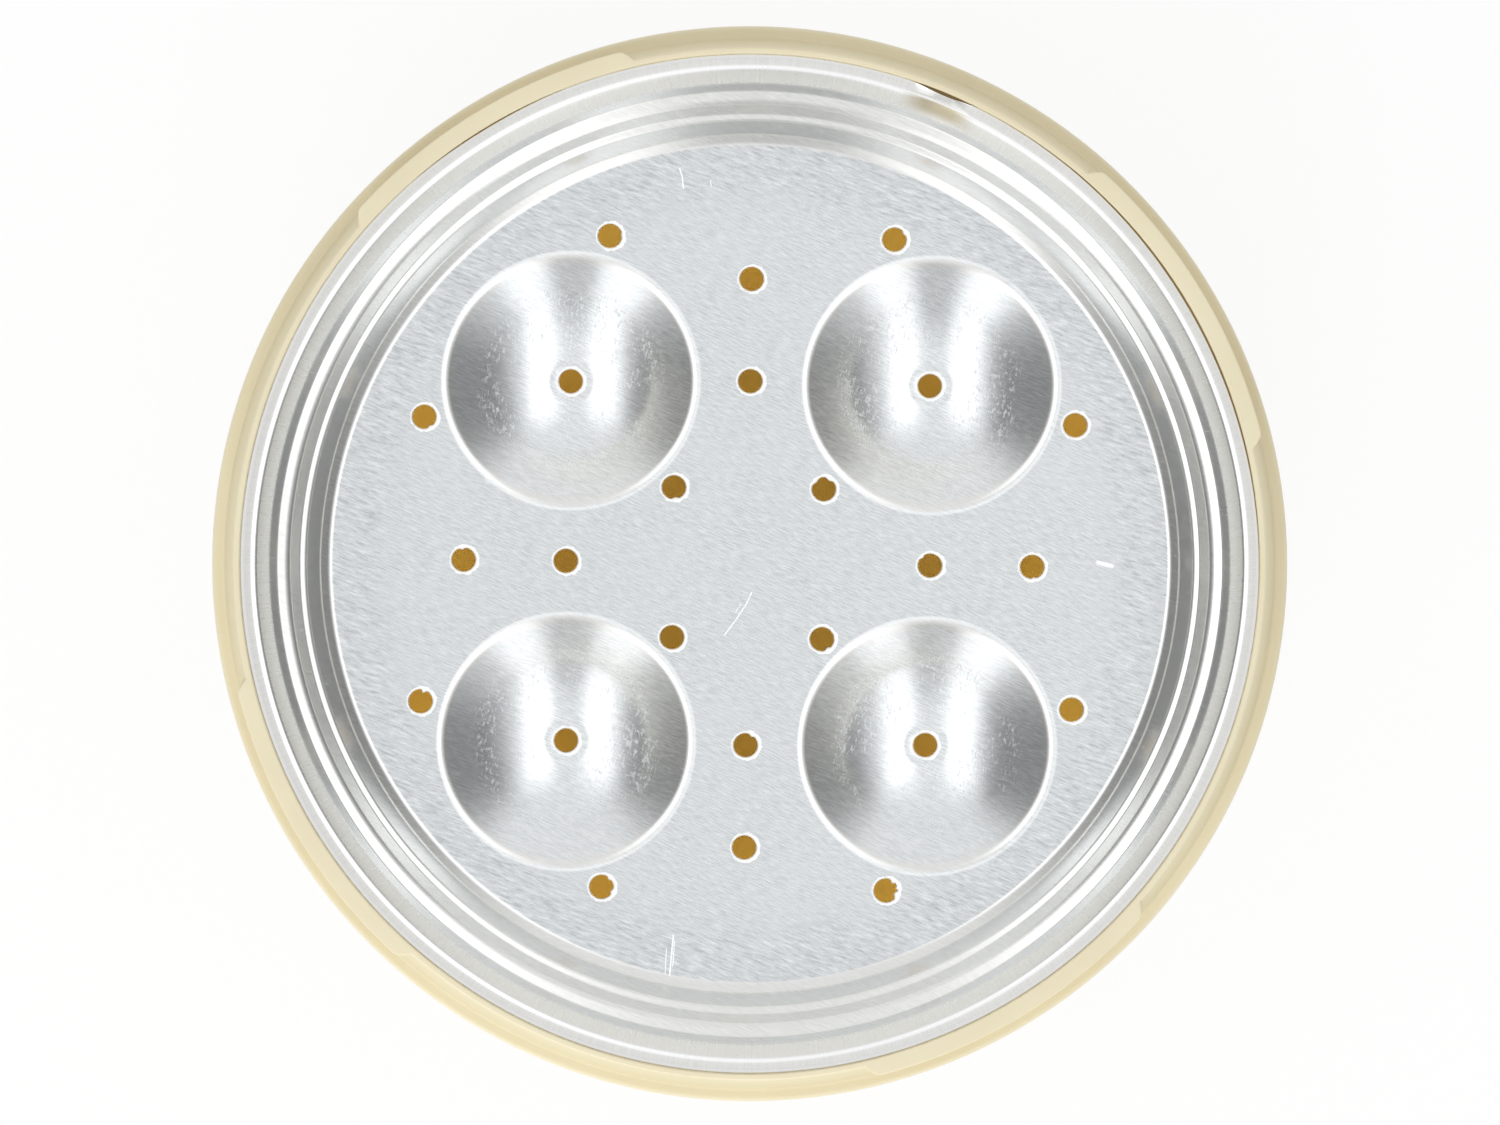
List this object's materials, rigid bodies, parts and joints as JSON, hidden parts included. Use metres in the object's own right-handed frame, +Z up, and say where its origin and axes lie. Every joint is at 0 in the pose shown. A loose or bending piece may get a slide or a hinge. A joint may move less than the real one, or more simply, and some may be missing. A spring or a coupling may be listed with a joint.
{
  "type": "microwave egg cooker",
  "caption": "Open round egg cooker: a cream plastic bowl with lid lugs round its rim, and a loose stepped aluminium tray with egg cups and steam holes.",
  "frame": {"origin": "on the table, under the middle of the bowl", "axes": "+Z up out of the bowl, +X and +Y in the table's plane, along the two lines between the egg cups"},
  "size_m": [0.17, 0.17, 0.062],
  "materials": {
    "cream_plastic": "moulded, slightly translucent, satin",
    "aluminium_sheet": "stamped sheet, rolled grain, worn"
  },
  "bodies": {
    "base": {"base_bowl": "cream_plastic"},
    "tray": {"egg_tray": "aluminium_sheet"}
  },
  "joints": [
    {"name": "tray_lift", "type": "slide", "parent": "base", "child": "tray", "axis": [0, 0, 1], "range_m": [0, 0.06]}
  ]
}
